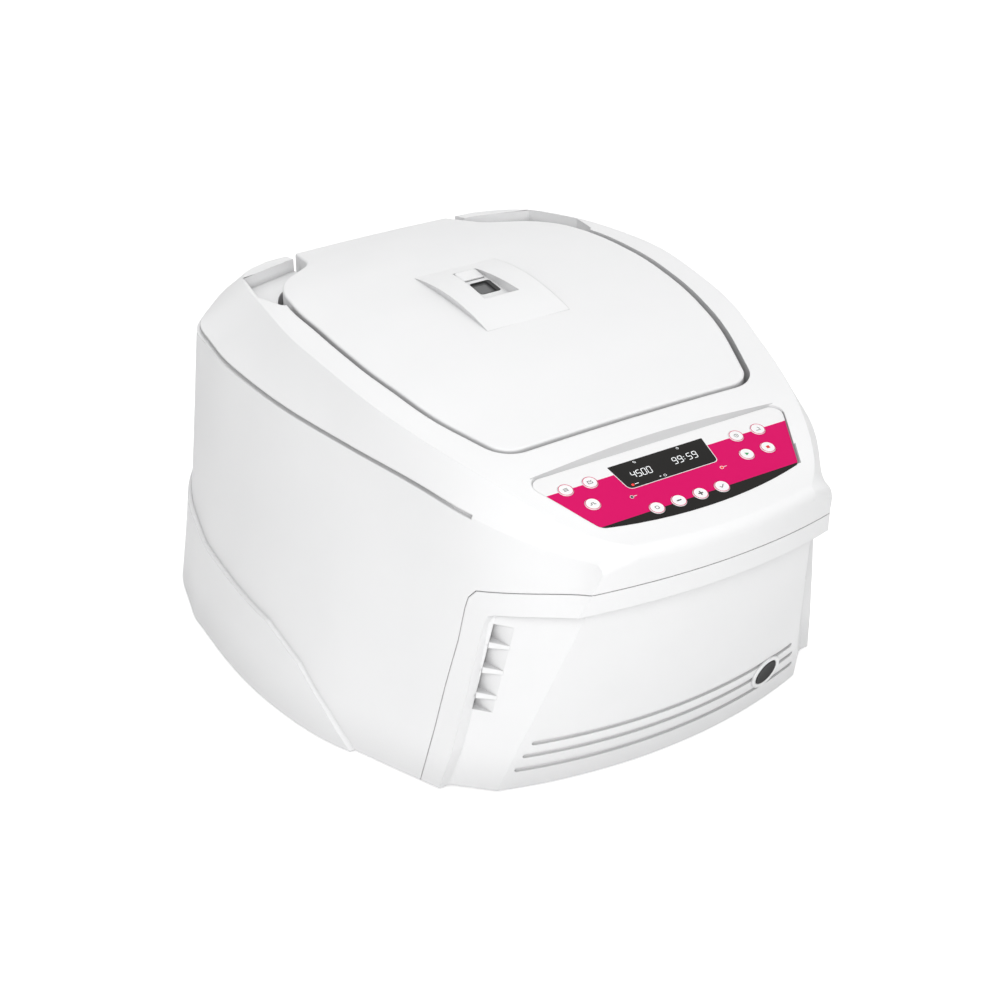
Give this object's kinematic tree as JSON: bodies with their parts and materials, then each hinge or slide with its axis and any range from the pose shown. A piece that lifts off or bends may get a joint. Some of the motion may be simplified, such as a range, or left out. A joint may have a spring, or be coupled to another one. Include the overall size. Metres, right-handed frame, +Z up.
{
  "type": "benchtop centrifuge",
  "caption": "Low bench centrifuge with a curved hinged lid, a sloping control panel with display and round keys, and a swing-out rotor in a steel bowl.",
  "frame": {"origin": "on the surface the machine stands on, under the middle of its bounding box", "axes": "+X to the right seen from the front, +Y to the back (the control panel faces -Y), +Z up"},
  "size_m": [0.514, 0.5571, 0.3095],
  "materials": {
    "housing_white": "satin off-white moulding",
    "label_print": "printed film, white, magenta and near-black",
    "display_black": "black display face with lit digits",
    "key_white": "white cap with a coloured ring",
    "button_black": "black moulding",
    "smoked_pane": "smoked clear pane",
    "rubber_black": "black rubber",
    "bowl_steel": "spun stainless bowl",
    "rotor_aluminium": "anodised aluminium",
    "bucket_aluminium": "anodised aluminium",
    "plain_steel": "zinc-plated steel",
    "motor_grey": "dark grey enamel",
    "winding_copper": "lacquered copper windings",
    "board_green": "circuit board with its parts",
    "fan_black": "black moulding",
    "liner_grey": "light grey moulding"
  },
  "bodies": {
    "machine": {"base_plate": "plain_steel", "base_screws": "plain_steel", "chamber_bowl": "bowl_steel", "chamber_gasket": "rubber_black", "control_board": "board_green", "dampers": "rubber_black", "display_module": "display_black", "fan_frame": "fan_black", "foot_1": "rubber_black", "foot_2": "rubber_black", "foot_3": "rubber_black", "foot_4": "rubber_black", "front_cover": "housing_white", "heat_sink": "rotor_aluminium", "hinge_pins": "plain_steel", "imbalance_switch": "fan_black", "lock_housing": "fan_black", "lower_bearing": "plain_steel", "main_housing": "housing_white", "mains_inlet": "button_black", "motor_housing": "motor_grey", "motor_plate": "plain_steel", "motor_stator": "winding_copper", "panel_label": "label_print", "power_button_ring": "housing_white", "power_supply": "plain_steel", "rear_panel": "plain_steel", "rear_screws": "plain_steel", "upper_bearing": "plain_steel"},
    "lid": {"lid_shell": "housing_white", "lid_liner": "liner_grey", "viewing_window": "smoked_pane", "lid_striker": "plain_steel"},
    "shutter": {"window_shutter": "housing_white"},
    "rotor": {"drive_shaft": "plain_steel", "motor_armature": "plain_steel", "rotor_head": "rotor_aluminium", "rotor_nut": "plain_steel", "trunnion_pins": "plain_steel"},
    "bucket_one": {"bucket_1": "bucket_aluminium"},
    "bucket_two": {"bucket_2": "bucket_aluminium"},
    "bucket_three": {"bucket_3": "bucket_aluminium"},
    "bucket_four": {"bucket_4": "bucket_aluminium"},
    "fan": {"fan_impeller": "fan_black"},
    "power_cap": {"power_button": "button_black"},
    "bolt": {"lock_bolt": "plain_steel"},
    "fuse_holder": {"fuse_drawer": "button_black"},
    "key_01": {"key_01": "key_white"},
    "key_02": {"key_02": "key_white"},
    "key_03": {"key_03": "key_white"},
    "key_04": {"key_04": "key_white"},
    "key_05": {"key_05": "key_white"},
    "key_06": {"key_06": "key_white"},
    "key_07": {"key_07": "key_white"},
    "key_08": {"key_08": "key_white"},
    "key_09": {"key_09": "key_white"},
    "key_10": {"key_10": "key_white"},
    "key_11": {"key_11": "key_white"}
  },
  "joints": [
    {"name": "lid_hinge", "type": "hinge", "parent": "machine", "child": "lid", "pos_m": [0, 0.262, 0.262], "axis": [-1, 0, 0], "range_deg": [0, 78]},
    {"name": "shutter_slide", "type": "slide", "parent": "lid", "child": "shutter", "axis": [0, -0.9979, -0.0644], "range_m": [0, 0.021]},
    {"name": "rotor_spin", "type": "hinge", "parent": "machine", "child": "rotor", "pos_m": [0, 0.066, 0.2], "axis": [0, 0, 1], "continuous": true},
    {"name": "bucket_one_swing", "type": "hinge", "parent": "rotor", "child": "bucket_one", "pos_m": [0.07, 0.066, 0.2], "axis": [0, -1, 0], "range_deg": [0, 90]},
    {"name": "bucket_two_swing", "type": "hinge", "parent": "rotor", "child": "bucket_two", "pos_m": [0, 0.136, 0.2], "axis": [1, 0, 0], "range_deg": [0, 90]},
    {"name": "bucket_three_swing", "type": "hinge", "parent": "rotor", "child": "bucket_three", "pos_m": [-0.07, 0.066, 0.2], "axis": [0, 1, 0], "range_deg": [0, 90]},
    {"name": "bucket_four_swing", "type": "hinge", "parent": "rotor", "child": "bucket_four", "pos_m": [0, -0.004, 0.2], "axis": [-1, 0, 0], "range_deg": [0, 90]},
    {"name": "fan_spin", "type": "hinge", "parent": "machine", "child": "fan", "pos_m": [0.07, 0.26, 0.13], "axis": [0, 1, 0], "continuous": true},
    {"name": "power_press", "type": "slide", "parent": "machine", "child": "power_cap", "axis": [-0.2022, 0.9511, 0.2334], "range_m": [0, 0.0025], "stiffness_N_per_m": 400},
    {"name": "key_01_press", "type": "slide", "parent": "machine", "child": "key_01", "axis": [0, 0.2453, -0.9694], "range_m": [0, 0.0006], "stiffness_N_per_m": 1500},
    {"name": "key_02_press", "type": "slide", "parent": "machine", "child": "key_02", "axis": [0, 0.2453, -0.9694], "range_m": [0, 0.0006], "stiffness_N_per_m": 1500},
    {"name": "key_03_press", "type": "slide", "parent": "machine", "child": "key_03", "axis": [0, 0.2453, -0.9694], "range_m": [0, 0.0006], "stiffness_N_per_m": 1500},
    {"name": "key_04_press", "type": "slide", "parent": "machine", "child": "key_04", "axis": [0, 0.2453, -0.9694], "range_m": [0, 0.0006], "stiffness_N_per_m": 1500},
    {"name": "key_05_press", "type": "slide", "parent": "machine", "child": "key_05", "axis": [0, 0.2453, -0.9694], "range_m": [0, 0.0006], "stiffness_N_per_m": 1500},
    {"name": "key_06_press", "type": "slide", "parent": "machine", "child": "key_06", "axis": [0, 0.2453, -0.9694], "range_m": [0, 0.0006], "stiffness_N_per_m": 1500},
    {"name": "key_07_press", "type": "slide", "parent": "machine", "child": "key_07", "axis": [0, 0.2453, -0.9694], "range_m": [0, 0.0006], "stiffness_N_per_m": 1500},
    {"name": "key_08_press", "type": "slide", "parent": "machine", "child": "key_08", "axis": [0, 0.2453, -0.9694], "range_m": [0, 0.0006], "stiffness_N_per_m": 1500},
    {"name": "key_09_press", "type": "slide", "parent": "machine", "child": "key_09", "axis": [0, 0.2453, -0.9694], "range_m": [0, 0.0006], "stiffness_N_per_m": 1500},
    {"name": "key_10_press", "type": "slide", "parent": "machine", "child": "key_10", "axis": [0, 0.2453, -0.9694], "range_m": [0, 0.0006], "stiffness_N_per_m": 1500},
    {"name": "key_11_press", "type": "slide", "parent": "machine", "child": "key_11", "axis": [0, 0.2453, -0.9694], "range_m": [0, 0.0006], "stiffness_N_per_m": 1500},
    {"name": "lock_slide", "type": "slide", "parent": "machine", "child": "bolt", "axis": [1, 0, 0], "range_m": [0, 0.01]},
    {"name": "fuse_slide", "type": "slide", "parent": "machine", "child": "fuse_holder", "axis": [0, 1, 0], "range_m": [0, 0.012]}
  ]
}
